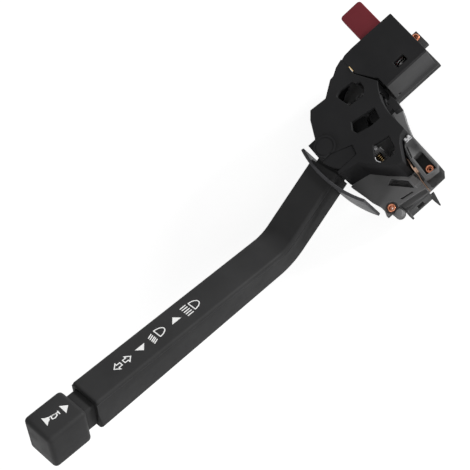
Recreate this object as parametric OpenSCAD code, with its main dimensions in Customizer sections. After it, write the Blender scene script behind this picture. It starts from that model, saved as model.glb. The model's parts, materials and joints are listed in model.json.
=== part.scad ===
// Combination stalk switch for a steering column.
// A cranked lever swings for the turn signals and tips for the beams, its end knob
// is the horn push, and a red tab on the upper housing pulls out for the hazard lamps.
// X runs to the driver's right, Y up the column, Z towards the driver.
// The origin is the turn pivot on the mounting face, and the lever stands in its
// lower signal position.

/* [Head] */
// Height of the closed head over the mounting face
head_h = 18; // [16:0.5:24]
// Thickness of the grey base plate
floor_t = 2.5; // [2:0.1:4]
// Thickness of the cover's top
cover_t = 2; // [1.2:0.1:3]
// Thickness of the upright walls
wall_t = 1.5; // [1:0.1:2.5]
// Radius of the hollow in the rim that clears the column
rim_r = 25.2; // [22:0.1:28]
// Radius of the two mounting screw holes
screw_r = 2.2; // [1.6:0.1:2.7]

/* [Lever] */
// Angle of the lever below level in the lower signal position
lever_az = 16; // [8:1:20]
// Distance from the turn pivot to the bend in the lever
bend_x = 59; // [50:1:75]
// Angle by which the outer arm rises to the driver
rise = 33.8; // [15:0.2:40]
// Length of the outer arm from the bend to its end
arm_l = 105.6; // [80:0.2:140]
// Width of the lever
arm_w = 14.8; // [12:0.1:18]
// Thickness of the inner arm
crank_t = 13.2; // [10:0.1:14]
// Thickness of the outer arm at its end
tip_t = 17; // [13:0.1:20]
// Radius of the rounded long edges
edge_r = 1.7; // [0.5:0.1:3]
// Inside radius of the bend
bend_r = 15; // [8:0.5:25]

/* [Horn push] */
// Length of the knob
knob_l = 18.4; // [12:0.1:26]
// Width of the knob
knob_w = 15.9; // [14:0.1:20]
// Height of the knob
knob_h = 18.3; // [15:0.1:22]
// Open neck between the arm and the knob
neck_gap = 5; // [4:0.1:8]
// Travel of the horn push
horn_travel = 2.5; // [1:0.1:3]
// Wall around the plunger in the end of the arm
neck_wall = 1.6; // [1.2:0.1:3]

/* [Turning parts] */
// Radius of the steel turn pivot
pivot_r = 3; // [2:0.1:4]
// Radius of the carrier's hub
hub_r = 8; // [6.5:0.1:9]
// Distance from the turn pivot to the tilt pin
dip_x = 11.5; // [10.5:0.1:13]
// Radius of the tilt pin
dip_r = 1.75; // [1.2:0.05:2.2]
// Radial play of a shaft in its bore
play = 0.05; // [0.02:0.01:0.09]
// Free space between parts that move past each other
gap = 0.3; // [0.2:0.05:0.5]
// Angle between the two end positions of the lever
swing = 24; // [16:1:26]
// Distance from the turn pivot to the drive peg of the contact slide
peg_x = 10.5; // [9.5:0.1:11.5]

/* [Hazard switch] */
// Width of the hazard housing
haz_w = 21.8; // [18:0.1:26]
// Length of the hazard housing
haz_l = 24.3; // [20:0.1:30]
// Width of the red tab
tab_w = 11.3; // [8:0.1:14]
// Length of the red tab outside the housing
tab_l = 18.6; // [10:0.1:24]
// Thickness of the red tab
tab_t = 4; // [3:0.1:5]
// Travel of the red tab
haz_travel = 5; // [3:0.1:6]

/* [Hidden] */
$fn = 48;
e = 0.01;
black = [0.09, 0.09, 0.1];
grey = [0.32, 0.32, 0.33];
steel = [0.7, 0.7, 0.72];
copper = [0.78, 0.45, 0.25];

roof_z = head_h - cover_t;
// The lever
crank_top = roof_z;
crank_z = crank_top - crank_t / 2;
bend_s = bend_r * tan(rise / 2);
arm_taper = atan((tip_t - crank_t) / (arm_l - bend_s));
root_w = 11.8;
root_top = crank_top - 1.8;
root_bottom = floor_t + 1.3;
root_x = 21;
cheek_in = root_w / 2 + gap;
cheek_out = cheek_in + 2.8;
cheek_x = dip_x + 4;
tail_x = dip_x - 3.2;
bridge_x = tail_x - 0.9;
bridge_t = 1.8;
base_cut_x = root_x - 1.2;
neck_w = arm_w - 2 * neck_wall - 2 * gap;
neck_h = tip_t - 2 * neck_wall - 2 * gap - 1;
neck_z = -tip_t / 2;
neck_in = 14;
neck_fix = 3;
horn_spring_l = horn_travel + 5;
horn_spring_r = 3.4;
horn_wire = 0.4;
knob_s = arm_l + neck_gap;
knob_r = 2;
// The shield
shield_r = 57;
shield_up = 11.3;
shield_down = 27;
shield_c = [shield_r - 24.1, -4];
shield_a0 = 180 - asin(shield_up / shield_r);
shield_a1 = 180 + asin(shield_down / shield_r);
shield_t = 1.4;
shield_h = 20;
shield_top = crank_top + 1;
// The carrier
carrier_z0 = floor_t + gap;
carrier_top = roof_z - 0.4;
shelf_z = root_top + 0.75;
pawl_c = [10, -3.6];
pawl_z = 9.6;
pawl_t = 3.8;
pawl_pin_r = 1.5;
pawl_boss_r = 3.3;
pawl_cup_r = 2.6;
pawl_cup_h = 1.6;
pawl_wire = 0.22;
pawl_spring_r = 2.05;
step_z = pawl_z - gap;
hub_top = step_z + 3.4;
pin_top = hub_top - 2;
neck_r = 6.2;
peg_r = 1.5;
peg_play = 0.12;
peg_a = 90 + swing / 2;
peg_c = [peg_x * cos(peg_a), peg_x * sin(peg_a)];
ear_r = 2.7;
slide_z = carrier_z0 + 0.2;
slide_top = slide_z + 3;
ear_z = slide_top + gap;
ear_t = step_z - ear_z - 0.15;
// The contact slide
slide_l = 9.2;
slide_y = [hub_r + gap, hub_r + gap + 5.6];
slide_x1 = peg_c[0] + peg_r + 1.9;
slide_x0 = slide_x1 - slide_l;
slide_travel = 2 * peg_x * sin(swing / 2);
pad_t = 0.2;
// The detent
detent_x = -0.3;
detent_z = 6.9;
detent_r = 2;
detent_tip = -hub_r - 0.2;
detent_len = 6.8;
detent_spring_r = 1.55;
detent_wire = 0.3;
barrel_y = [-19.9, -13.2];
barrel_wall = 1;
bore_end = barrel_y[0] + 0.9;
// The head
rim_c = [rim_r + 14.8, -9.5];
rim_a0 = 180 + asin(2.3 / rim_r);
rim_a1 = 180 - asin(15.7 / rim_r);
boss_c = [-14.4, -0.3];
boss_r = 5;
boss_h = 0.8;
boss_groove = [3.7, 4.2];
boss_groove_h = 0.4;
bay_c = [0.5, -21];
bay_r = 2.8;
screws = [[11, 11], [5.2, -19.6]];
screw_boss_r = screw_r + 1.1;
screw_boss_h = 4.5;
block_top = 14;
// The hazard switch
haz_x0 = 21.4;
haz_y0 = 2;
haz_x1 = haz_x0 + haz_w;
haz_y1 = haz_y0 + haz_l;
tab_x = (haz_x0 + haz_x1) / 2 + 0.3;
tab_z = 11.5;
tab_r = 1.5;
block_l = 8;
block_w = haz_w - 2 * wall_t - 2 * gap - 2;
run_y1 = haz_y1 - wall_t - gap - haz_travel;
run_y0 = run_y1 - block_l;
run_z = floor_t + 0.7;
haz_spring_r = 2.3;
haz_wire = 0.35;
haz_spring_z = 10;
flange_y = 14.5;
flange_top = 8.4;
plug_x = [-7.8, 4.8];
plug_y = [-39.8, -27];
plug_front = 3;
plug_z = -7;
plug_wall = 1.2;
leaf_x = [15.35, 15.7];
leaf_y = [17.6, 20.6];
rivet_r = 1.2;
rivet_head = 2.1;
rivet_bore = 0.6;
block_rivet = [11.5, -37.1];
block_pit = block_top - 3.2;
strip_z = [8, 12.4];
base_rivet = [-10.8, -34.4];
base_pit = floor_t - 0.6;
lug_c = [-9.9, -38.6];
lug_r = 2.3;

function unit(v) = v / norm(v);
function inward(p, i) = let(d = unit(p[(i + 1) % len(p)] - p[i])) [-d[1], d[0]];
function inset(p, d) = [for (i = [0:len(p) - 1])
    let(a = inward(p, (i + len(p) - 1) % len(p)), b = inward(p, i)) p[i] + d * (a + b) / (1 + a * b)];
function arc(c, r, a0, a1, n) = [for (i = [0:n])
    let(a = a0 + (a1 - a0) * i / n) [c[0] + r * cos(a), c[1] + r * sin(a)]];
function round_box(w, h, r, n = 5) = concat(arc([w / 2 - r, h / 2 - r], r, 0, 90, n),
    arc([r - w / 2, h / 2 - r], r, 90, 180, n), arc([r - w / 2, r - h / 2], r, 180, 270, n),
    arc([w / 2 - r, r - h / 2], r, 270, 360, n));
function turned(p, a) = [p[0] * cos(a) - p[1] * sin(a), p[0] * sin(a) + p[1] * cos(a)];

// Outline of the turn signal head, anticlockwise from its upper right corner
function head_outline() = concat([[15.2, 16.4], [15.2, 26.4], [11.2, 25], [7.9, 22.8],
    [5.9, 22.5], [-0.8, 17.2], [-8.9, 18], [-11.7, 14.4], [-15.5, 6], [-16.2, -3], [-17.4, -14.2],
    [-8.4, -16.2], [-2.7, -23.2], [3, -29.2], [5.7, -29.6], [9.5, -22.6], [11.9, -19.9], [15, -18.8]],
    arc(rim_c, rim_r, rim_a0, rim_a1, 10));

// Outline of the base plate, wider than the cover at the plug end
function base_outline() = concat([[haz_x1 + 1.4, haz_y0 - 1.2], [haz_x1 + 1.4, haz_y1 + 0.5], [15, 27],
    [12.8, 26.4], [9.8, 24.9], [7.5, 23.3], [5.9, 23.2], [2.6, 20.6], [-0.5, 18], [-9.2, 18.7],
    [-12.3, 14.8], [-14.1, 10.2], [-16.2, 6.2], [-17, -3], [-18, -14.4], [-16.4, -21.6], [-15.6, -26],
    [-14.7, -28.6], [-14.1, -30.6], [-13.9, -33.4], [-14.8, -36.2], [-12.6, -36.2]],
    arc(lug_c, lug_r, 170, 340, 8), [[-7.5, -36.6], [-7, -38.2], [-3.2, -39], [4.6, -39.9], [13.4, -39.6],
    [15.4, -37.2], [15.5, -19.4], [15.7, -15.4], [16.8, -11.8], [17.8, -9], [19, -6.3], [20.2, -2.6],
    [haz_x0 - 0.6, haz_y0 - 1.2]]);

// Places its children in the lever's own frame, with the lever along -X
module lever_frame() {
    rotate([0, 0, lever_az]) children();
}

// Places its children in the outer arm's frame, with the arm along +X and its top at Z 0
module arm_frame() {
    lever_frame() translate([-bend_x, 0, crank_top]) rotate([0, rise, 0]) rotate([0, 0, 180]) children();
}

// A coil with a round wire, standing on Z 0
module coil(r, wire, height, turns) {
    span = 360 * wire * turns / height;
    outer = [for (i = [0:6]) let(t = -1 + i / 3)
        (r + wire * sqrt(1 - t * t)) * [cos(t * span), sin(t * span)]];
    inner = [for (i = [1:5]) let(t = 1 - i / 3)
        (r - wire * sqrt(1 - t * t)) * [cos(t * span), sin(t * span)]];
    linear_extrude(height - 2 * wire, twist = -360 * turns, slices = ceil(16 * turns), $fn = 12)
        polygon(concat(outer, inner));
}

// A plate with upright sides from an outline
module slab(p, z0, z1) {
    translate([0, 0, z0]) linear_extrude(z1 - z0) polygon(p);
}

// A box given by its lowest and highest corner
module box(a, b) {
    translate(a) cube(b - a);
}

// Places its children with Z pointing along -Y
module down_y() {
    rotate([90, 0, 0]) children();
}

// The grey plate that carries everything, with its pivot and screw bosses and guides
module base_plate() {
    color(grey) difference() {
        union() {
            slab(base_outline(), 0, floor_t);
            for (p = screws) translate([p[0], p[1], 0])
                cylinder(r = screw_boss_r, h = floor_t + screw_boss_h);
            box([slide_x0, slide_y[1] + gap, floor_t - e],
                [slide_x1 + slide_travel, slide_y[1] + gap + 1, slide_top - 0.5]);
            box([detent_x - detent_r - barrel_wall, barrel_y[0], floor_t - e],
                [detent_x + detent_r + barrel_wall, barrel_y[1], detent_z + detent_r + 0.7]);
            slab([[2.3, -31], [2.4, -35.5], [5.7, -35.4], [4.8, -30.6]], floor_t - e, floor_t + 2.4);
            translate([lug_c[0], lug_c[1], floor_t - e]) cylinder(r = lug_r - 0.6, h = 0.5);
        }
        for (p = screws) translate([p[0], p[1], -e]) cylinder(r = screw_r, h = floor_t + screw_boss_h + 1);
        translate([0, 0, -e]) cylinder(r = pivot_r, h = floor_t + 1);
        translate([detent_x, bore_end, detent_z]) rotate([-90, 0, 0]) cylinder(r = detent_r + play, h = 10);
        box([detent_x - 1.3, bore_end, detent_z], [detent_x + 1.3, barrel_y[1] - 1.6, detent_z + 5]);
        difference() {
            slab([[-3.1, -24.2], [-5.8, -25.6], [1.7, -34.6], [1.7, -30]], floor_t - 1.7, floor_t + 1);
            for (i = [0:3]) translate([-4.9 + 0.9 * i, -25.4, 0]) rotate([0, 0, -51 - 1.5 * i])
                box([0.6, -0.15, 0], [9 - 1.1 * i, 0.2, floor_t - 0.9]);
        }
        translate([base_rivet[0], base_rivet[1], -e]) cylinder(r = rivet_r, h = floor_t + 1);
        translate([base_rivet[0], base_rivet[1], base_pit]) cylinder(r = rivet_head + 0.6, h = 3);
        slab([[-5.6, -33.9], [-5.2, -34.9], [0.3, -35.8], [0.1, -35]], floor_t - 1, floor_t + 1);
        slab([[-9, -36], [-7.3, -36], [1.2, -37.3], [4.7, -38.1], [4.9, -41], [-7.3, -41]],
            floor_t - 1, floor_t + 1);
        lever_frame() box([-40, -arm_w / 2 - 1.5, -1], [-base_cut_x, arm_w / 2 + 1.5, floor_t + 1]);
    }
}

// The black cover with its walls, mouth, windows and round boss
module head_cover() {
    p = head_outline();
    color(black) difference() {
        union() {
            difference() {
                slab(p, floor_t, roof_z + e);
                slab(inset(p, wall_t), floor_t - 1, roof_z + 1);
                slab([[-32, -12.6], [-4, -12.6], [-4, 8], [-9, 15.4], [-32, 15.4]], floor_t - 1, roof_z);
                box([10, -17.6, pawl_z - gap - 0.2], [24, 3, pawl_z + pawl_t + gap]);
            }
            slab(p, roof_z, head_h);
            box([-19.4, -4.4, roof_z], [-13, 5.8, head_h]);
            translate([boss_c[0], boss_c[1], head_h - e]) cylinder(r = boss_r, h = boss_h);
        }
        slab([[-32, -4.4], [-14.4, -4.3], [-5.3, -8.1], [-6.6, -12.7], [-32, -12.7]], roof_z - 1, head_h + 2);
        translate([boss_c[0], boss_c[1], head_h + boss_h - boss_groove_h]) difference() {
            cylinder(r = boss_groove[1], h = 1);
            translate([0, 0, -1]) cylinder(r = boss_groove[0], h = 3);
        }
        slab([[4.6, 6.7], [11.2, 5.8], [13, 6.6], [14.2, 8.6], [14.8, 11.9], [13.6, 12.6], [12.9, 12.4],
            [12.4, 14.4], [6.2, 15.3], [4.1, 14.8], [3.1, 13.9]], roof_z - 1, head_h + 1);
        slab([[0.6, 0.2], [-1.3, -3], [-0.6, -5.7], [5.9, -7.5], [10.4, -7.5], [11.8, -2]],
            roof_z - 1, head_h + 1);
        slab([[1, -14.9], [-1.4, -18.7], [2.9, -24.3], [5.4, -24.2], [6.9, -22.4], [8.4, -16.4]],
            roof_z - 1, head_h + 1);
        translate([bay_c[0], bay_c[1], roof_z - 1]) cylinder(r = bay_r, h = cover_t + 2);
    }
}

// The open grey box of the hazard switch with the slot for its tab
module hazard_housing() {
    color(grey) difference() {
        union() {
            box([haz_x0, haz_y0, floor_t], [haz_x1, haz_y1, roof_z]);
            box([haz_x1 - e, flange_y - 6, flange_top - 2], [haz_x1 + 3.4, flange_y + 2.6, flange_top]);
        }
        box([haz_x0 + wall_t, haz_y0 + wall_t, floor_t - 1], [haz_x1 - wall_t, haz_y1 - wall_t, roof_z + 1]);
        box([tab_x - tab_w / 2 - gap, haz_y1 - wall_t - 1, tab_z - tab_t / 2 - gap],
            [tab_x + tab_w / 2 + gap, haz_y1 + 1, tab_z + tab_t / 2 + gap]);
        translate([haz_x0 + 2.2, haz_y0 - 1, 4.2]) rotate([-90, 0, 0]) cylinder(r = 0.6, h = wall_t + 0.4);
        translate([haz_x1 + 1.1, flange_y, flange_top - 3]) cylinder(r = rivet_r, h = 4);
        translate([haz_x1 + 1.1, flange_y, flange_top]) cylinder(r = rivet_head + gap, h = 3);
    }
}

// Outline of the lid over the hazard switch, with its tongue up to the head cover
function lid_outline() = [[haz_x0 - 0.2, haz_y0 - 0.2], [haz_x1 + 0.2, haz_y0 - 0.2],
    [haz_x1 + 0.2, haz_y1 + 0.2], [22, haz_y1 + 0.6], [17.4, 26.6], [15.3, 25.8], [15.3, 17.2],
    [20.2, 8.4], [haz_x0 - 0.2, 7.6]];

// The black lid over the hazard switch, with the window over its spring
module hazard_cover() {
    color(black) difference() {
        union() {
            slab(lid_outline(), roof_z, head_h);
            slab([[16, 25.2], [16, 17.2], [20.6, 9.2], [haz_x0 - 0.1, 9], [haz_x0 - 0.1, 25.8], [17.6, 25.8]],
                floor_t, roof_z + e);
        }
        box([tab_x - 2.7, haz_y0 + 2.3, roof_z - 1], [tab_x + 2.7, haz_y0 + 5.8, head_h + 1]);
        box([leaf_x[0] - 0.3, leaf_y[0] - 0.2, roof_z - 1], [leaf_x[1] + 0.1, leaf_y[1] + 0.2, head_h + 1]);
    }
}

// The red pull tab with the slider block behind it
module hazard_tab() {
    color([0.55, 0.12, 0.14]) union() {
        box([tab_x - block_w / 2, run_y0, run_z], [tab_x + block_w / 2, run_y1, roof_z - gap]);
        translate([tab_x, 0, 0]) slab(concat([[tab_w / 2, run_y1 - e]],
            arc([tab_w / 2 - tab_r, haz_y1 + tab_l - tab_r], tab_r, 0, 90, 5),
            arc([tab_r - tab_w / 2, haz_y1 + tab_l - tab_r], tab_r, 90, 180, 5), [[-tab_w / 2, run_y1 - e]]),
            tab_z - tab_t / 2, tab_z + tab_t / 2);
    }
}

// The spring that draws the tab home
module hazard_spring() {
    color(steel) translate([tab_x, run_y0 - haz_wire, haz_spring_z]) down_y()
        coil(haz_spring_r, haz_wire, run_y0 - haz_y0 - wall_t, 5.5);
}

// The copper bridge under the tab's slider
module hazard_bridge() {
    color(copper) box([tab_x - 5, run_y0 + 1.5, run_z - pad_t], [tab_x + 5, run_y1 - 1.5, run_z]);
}

// Two fixed contact strips on the floor of the hazard switch
module hazard_contacts() {
    color(copper) for (x = [tab_x - 4, tab_x + 2])
        box([x, haz_y0 + wall_t, floor_t], [x + 2, haz_y1 - wall_t, floor_t + pad_t]);
}

// X of the terminal block's inner side
function block_side(y) = 7.3 + (y + 40.4) / 14;

// The light grey terminal block beside the cover
module terminal_block() {
    color([0.4, 0.4, 0.41]) difference() {
        slab([[15.4, -19.6], [14.8, -19.4], [12.3, -20.3], [10.1, -22.9], [block_side(-26.4), -26.4],
            [block_side(-40.4), -40.4], [13.6, -40.8], [15.4, -38.2]], floor_t, block_top);
        slab([[9.7, -29.6], [9, -39.3], [13.8, -39.8], [13.8, -29.2]], block_pit, block_top + 1);
        slab([[10.9, -23.6], [9.3, -29], [8.9, -29], [10.3, -23.6]], block_top - 0.7, block_top + 1);
        translate([block_rivet[0], block_rivet[1], block_pit - 4]) cylinder(r = rivet_r, h = 8);
    }
}

// A tubular rivet with a rolled head, set at Z 0 with its shank below
module eyelet(shank) {
    rotate_extrude() polygon([[rivet_bore, -shank], [rivet_r, -shank], [rivet_r, 0], [rivet_head, 0],
        [rivet_head, 0.35], [1.8, 0.75], [1.35, 0.9], [0.9, 0.75], [rivet_bore, 0.3]]);
}

// The copper rivets on the block, on the base and on the hazard switch
module terminal_rivets() {
    color(copper) {
        translate([block_rivet[0], block_rivet[1], block_pit]) eyelet(4);
        translate([base_rivet[0], base_rivet[1], base_pit]) eyelet(base_pit);
        translate([haz_x1 + 1.1, flange_y, flange_top]) eyelet(2);
    }
}

// The bright contact leaf along the block's inner side
module terminal_leaf() {
    color(steel) union() {
        slab([[7.45, -26.8], [6.5, -31.7], [6.2, -36.6], [5.7, -38.8], [5.4, -43.4], [5.9, -43.4],
            [6.2, -38.8], [6.7, -36.6], [7, -31.8], [7.7, -28]], strip_z[0], strip_z[1]);
        slab([[6.8, -31.9], [6.6, -34.4], [block_side(-34.4), -34.4], [block_side(-31.9), -31.9]],
            strip_z[0] + 0.4, strip_z[1] - 1.4);
    }
}

// The steel clip at the upper end of the block
module rim_clip() {
    color(steel) union() {
        box([11.7, -22.6, block_top], [14.7, -21, block_top + 0.3]);
        for (x = [11.9, 13.7]) box([x, -22.4, block_top], [x + 0.8, -21, block_top + 1.4]);
    }
}

// The plug housing under the base plate, open downwards, with a latch window in its front
module plug_shroud() {
    color(grey) difference() {
        union() {
            box([plug_x[0], plug_y[0], plug_z], [plug_x[1], plug_y[1], 0]);
            box([plug_x[0], plug_y[0] - 1.2, plug_z], [plug_x[0] + 1, plug_y[0] + e, plug_z + 5]);
            slab([[plug_x[1] - 1, plug_y[0] + 1], [plug_x[1] - 0.8, -42.4], [4.4, -45.3], [5, -45.6],
                [6.5, plug_y[0] + 1]], -4.6, -3.6);
        }
        box([plug_x[0] + plug_wall, plug_y[0] + plug_front, plug_z - 1],
            [plug_x[1] - plug_wall, plug_y[1] - plug_wall, -plug_wall]);
        box([-2.9, plug_y[0] - 1, plug_z + 1.6], [0.4, plug_y[0] + 2, -0.8 - plug_wall]);
        box([-6.6, plug_y[0] - 1, -0.8], [3.8, plug_y[0] + 0.6, e]);
    }
}

// The flat blades inside the plug housing
module plug_blades() {
    color(copper) for (i = [0:4]) translate([-5.4 + 1.9 * i, 0, 0])
        box([0, plug_y[1] - 2.8, plug_z + plug_wall], [1.3, plug_y[1] - 2.2, -plug_wall]);
}

// The fixed contact strips under the contact slide
module base_contacts() {
    color(copper) for (y = [slide_y[0] + 0.8, slide_y[0] + 3.6])
        box([slide_x0, y, floor_t], [slide_x1 + slide_travel, y + 1.2, floor_t + pad_t]);
}

// The steel pin on which the carrier turns
module pivot_pin() {
    color(steel) cylinder(r = pivot_r, h = pin_top);
}

// A round ear on the hub, with an arm to it
module ear(c, r) {
    translate([c[0], c[1], ear_z]) cylinder(r = r, h = ear_t);
    rotate([0, 0, atan2(c[1], c[0])])
        box([hub_r - 1, 0.4 - r, ear_z + 0.25], [norm(c), r - 0.4, ear_z + ear_t - 0.25]);
}

// The carrier that turns on the pivot and holds the lever between its cheeks
module lever_carrier() {
    color([0.16, 0.16, 0.17]) difference() {
        union() {
            translate([0, 0, carrier_z0]) cylinder(r = hub_r, h = step_z - carrier_z0);
            translate([0, 0, carrier_z0]) cylinder(r = neck_r, h = hub_top - carrier_z0);
            lever_frame() box([-cheek_x, -cheek_out, carrier_z0],
                [bridge_t - bridge_x, cheek_out, carrier_top]);
            ear(pawl_c, pawl_boss_r);
            ear(peg_c, ear_r);
            translate([peg_c[0], peg_c[1], slide_z + 0.2]) cylinder(r = peg_r, h = ear_z + 1 - slide_z);
        }
        translate([0, 0, carrier_z0 - 1]) cylinder(r = pivot_r + play, h = pin_top + gap - carrier_z0 + 1);
        lever_frame() box([-30, -cheek_in, 0], [-bridge_x, cheek_in, shelf_z]);
        lever_frame() translate([-dip_x, cheek_out + 1, crank_z]) down_y()
            cylinder(r = dip_r, h = 2 * cheek_out + 2);
        translate([pawl_c[0], pawl_c[1], ear_z - 1]) cylinder(r = pawl_pin_r, h = ear_t + 2);
        for (i = [0:2]) rotate([0, 0, -90 + i * swing / 2]) translate([hub_r + 0.7, 0, detent_z - detent_r])
            cylinder(r = 1, h = 2 * detent_r);
    }
}

// The steel pin on which the lever tips
module tilt_pin() {
    color(steel) lever_frame() translate([-dip_x, cheek_out, crank_z]) down_y()
        cylinder(r = dip_r, h = 2 * cheek_out);
}

// The long lever: root, inner arm, bend and rising outer arm with the hollow for the plunger
module lever_arm() {
    color(black) difference() {
        union() {
            lever_frame() {
                box([-root_x - 1, -root_w / 2, root_bottom], [-tail_x, root_w / 2, root_top]);
                translate([bend_s - bend_x - e, 0, crank_z]) rotate([90, 0, 90])
                    linear_extrude(bend_x - bend_s - root_x + e) polygon(round_box(arm_w, crank_t, edge_r));
                translate([bend_s - bend_x, 0, crank_top + bend_r]) rotate([90, 0, 0])
                    rotate([0, 0, -90 - rise]) rotate_extrude(angle = rise)
                    translate([bend_r + crank_t / 2, 0]) polygon(round_box(crank_t, arm_w, edge_r));
            }
            arm_frame() intersection() {
                translate([bend_s - e, 0, -tip_t / 2]) rotate([90, 0, 90]) linear_extrude(arm_l - bend_s + e)
                    polygon(round_box(arm_w, tip_t, edge_r));
                translate([bend_s, 0, -crank_t]) rotate([0, arm_taper, 0]) translate([-10, 0, tip_t])
                    rotate([90, 0, 90]) linear_extrude(arm_l + 20)
                    polygon(round_box(arm_w, 2 * tip_t, edge_r));
            }
        }
        lever_frame() translate([-dip_x, cheek_out, crank_z]) down_y()
            cylinder(r = dip_r + play, h = 2 * cheek_out);
        arm_frame() box([arm_l - neck_in - horn_spring_l, -neck_w / 2 - gap, neck_z - neck_h / 2 - gap],
            [arm_l + 1, neck_w / 2 + gap, neck_z + neck_h / 2 + gap]);
    }
}

// The curved dust shield around the lever's root
module dust_shield() {
    color([0.12, 0.12, 0.13]) difference() {
        slab(concat(arc(shield_c, shield_r, shield_a0, shield_a1, 24),
            arc(shield_c, shield_r - shield_t, shield_a1, shield_a0, 24)), shield_top - shield_h, shield_top);
        lever_frame() translate([-40, 0, crank_z]) rotate([90, 0, 90]) linear_extrude(30)
            polygon(round_box(arm_w, crank_t, edge_r));
    }
}

// The plunger that carries the knob and slides in the end of the arm
module horn_plunger() {
    color([0.14, 0.14, 0.15]) arm_frame() box([arm_l - neck_in, -neck_w / 2, neck_z - neck_h / 2],
        [knob_s + neck_fix, neck_w / 2, neck_z + neck_h / 2]);
}

// The horn push knob, rounded on every edge
module horn_knob() {
    color(black) arm_frame() difference() {
        intersection() {
            translate([knob_s, 0, neck_z]) rotate([90, 0, 90]) linear_extrude(knob_l)
                polygon(round_box(knob_w, knob_h, knob_r));
            translate([knob_s + knob_l / 2, 0, neck_z - knob_h / 2 - 1]) linear_extrude(knob_h + 2)
                polygon(round_box(knob_l, knob_w, knob_r));
            translate([knob_s + knob_l / 2, knob_w, neck_z]) down_y() linear_extrude(2 * knob_w)
                polygon(round_box(knob_l, knob_h, knob_r));
        }
        box([knob_s - 1, -neck_w / 2, neck_z - neck_h / 2],
            [knob_s + neck_fix, neck_w / 2, neck_z + neck_h / 2]);
    }
}

// The spring behind the horn plunger
module horn_spring() {
    color(steel) arm_frame() translate([arm_l - neck_in - horn_spring_l + horn_wire, 0, neck_z])
        rotate([0, 90, 0]) coil(horn_spring_r, horn_wire, horn_spring_l, 4.5);
}

// The pawl whose nose stands out of the rim and cancels the signal
module cancel_pawl() {
    color([0.22, 0.22, 0.23]) difference() {
        union() {
            translate([pawl_c[0], pawl_c[1], pawl_z]) cylinder(r = pawl_boss_r, h = pawl_t);
            slab([[10, -5.4], [17, -6], [16.6, -7.4], [20, -8.2], [20.4, -4.6], [20, -1], [16.6, -1.8],
                [17, -3.2], [10, -1.8]], pawl_z, pawl_z + pawl_t);
        }
        translate([pawl_c[0], pawl_c[1], pawl_z - 1]) cylinder(r = pawl_pin_r + play, h = pawl_t + 0.2);
        translate([pawl_c[0], pawl_c[1], pawl_z - 1]) cylinder(r = pawl_cup_r, h = pawl_cup_h + 1);
    }
}

// The pin of the pawl
module pawl_pin() {
    color(steel) translate([pawl_c[0], pawl_c[1], ear_z])
        cylinder(r = pawl_pin_r, h = pawl_z + pawl_t - 1.1 - ear_z);
}

// The small spring around the pawl's pin
module pawl_spring() {
    color(steel) translate([pawl_c[0], pawl_c[1], ear_z + ear_t + pawl_wire])
        coil(pawl_spring_r, pawl_wire, pawl_z + pawl_cup_h - ear_z - ear_t - 0.1, 2.5);
}

// The contact slide that the carrier's peg drives across
module contact_slide() {
    color([0.75, 0.73, 0.66]) difference() {
        box([slide_x0, slide_y[0], slide_z], [slide_x1, slide_y[1], slide_top]);
        box([peg_c[0] - peg_r - peg_play, slide_y[0] - 1, slide_z - 1],
            [peg_c[0] + peg_r + peg_play, peg_x + peg_r + 0.2, slide_top + 1]);
    }
}

// The copper bridge let into the contact slide
module slide_bridge() {
    color(copper) box([slide_x0 + 1, slide_y[1] - 1.2, slide_top],
        [slide_x1 - 1, slide_y[1] - 0.4, slide_top + pad_t]);
}

// The sprung plunger that clicks into the hub's notches
module detent_plunger() {
    color(steel) union() {
        translate([detent_x, detent_tip - detent_r, detent_z]) sphere(r = detent_r);
        translate([detent_x, detent_tip - detent_r, detent_z]) down_y()
            cylinder(r = detent_r, h = detent_len - detent_r);
    }
}

// The spring behind the detent plunger
module detent_spring() {
    color(steel) translate([detent_x, detent_tip - detent_len - detent_wire, detent_z]) down_y()
        coil(detent_spring_r, detent_wire, detent_tip - detent_len - bore_end, 3.5);
}

// The thin brass leaf between the two covers
module cover_leaf() {
    color([0.8, 0.65, 0.3]) box([leaf_x[0], leaf_y[0], floor_t], [leaf_x[1], leaf_y[1], head_h + 0.3]);
}

base_plate();
head_cover();
hazard_housing();
hazard_cover();
hazard_tab();
hazard_spring();
hazard_bridge();
hazard_contacts();
terminal_block();
terminal_rivets();
terminal_leaf();
rim_clip();
plug_shroud();
plug_blades();
base_contacts();
pivot_pin();
lever_carrier();
tilt_pin();
lever_arm();
dust_shield();
horn_plunger();
horn_knob();
horn_spring();
cancel_pawl();
pawl_pin();
pawl_spring();
contact_slide();
slide_bridge();
detent_plunger();
detent_spring();
cover_leaf();
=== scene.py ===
import json
import math

import bmesh
import bpy
from mathutils import Matrix, Vector

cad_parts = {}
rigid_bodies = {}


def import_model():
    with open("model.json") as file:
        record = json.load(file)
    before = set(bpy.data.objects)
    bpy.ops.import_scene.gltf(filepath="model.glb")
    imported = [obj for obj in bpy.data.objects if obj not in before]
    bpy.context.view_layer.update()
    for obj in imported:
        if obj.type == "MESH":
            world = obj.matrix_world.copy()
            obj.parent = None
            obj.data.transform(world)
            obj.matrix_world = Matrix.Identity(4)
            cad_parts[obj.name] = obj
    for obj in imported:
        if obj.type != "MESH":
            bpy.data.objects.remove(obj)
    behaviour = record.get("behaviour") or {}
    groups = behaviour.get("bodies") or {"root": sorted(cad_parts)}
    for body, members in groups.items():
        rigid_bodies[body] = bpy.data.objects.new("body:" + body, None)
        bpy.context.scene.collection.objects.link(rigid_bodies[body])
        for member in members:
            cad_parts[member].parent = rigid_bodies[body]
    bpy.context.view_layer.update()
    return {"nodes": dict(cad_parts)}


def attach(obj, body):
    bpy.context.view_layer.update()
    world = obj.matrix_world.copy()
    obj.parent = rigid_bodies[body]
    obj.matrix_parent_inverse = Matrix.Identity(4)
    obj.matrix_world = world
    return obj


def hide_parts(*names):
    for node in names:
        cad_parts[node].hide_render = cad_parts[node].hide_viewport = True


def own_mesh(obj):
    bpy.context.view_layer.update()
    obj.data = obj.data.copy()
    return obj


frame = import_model()
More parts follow.
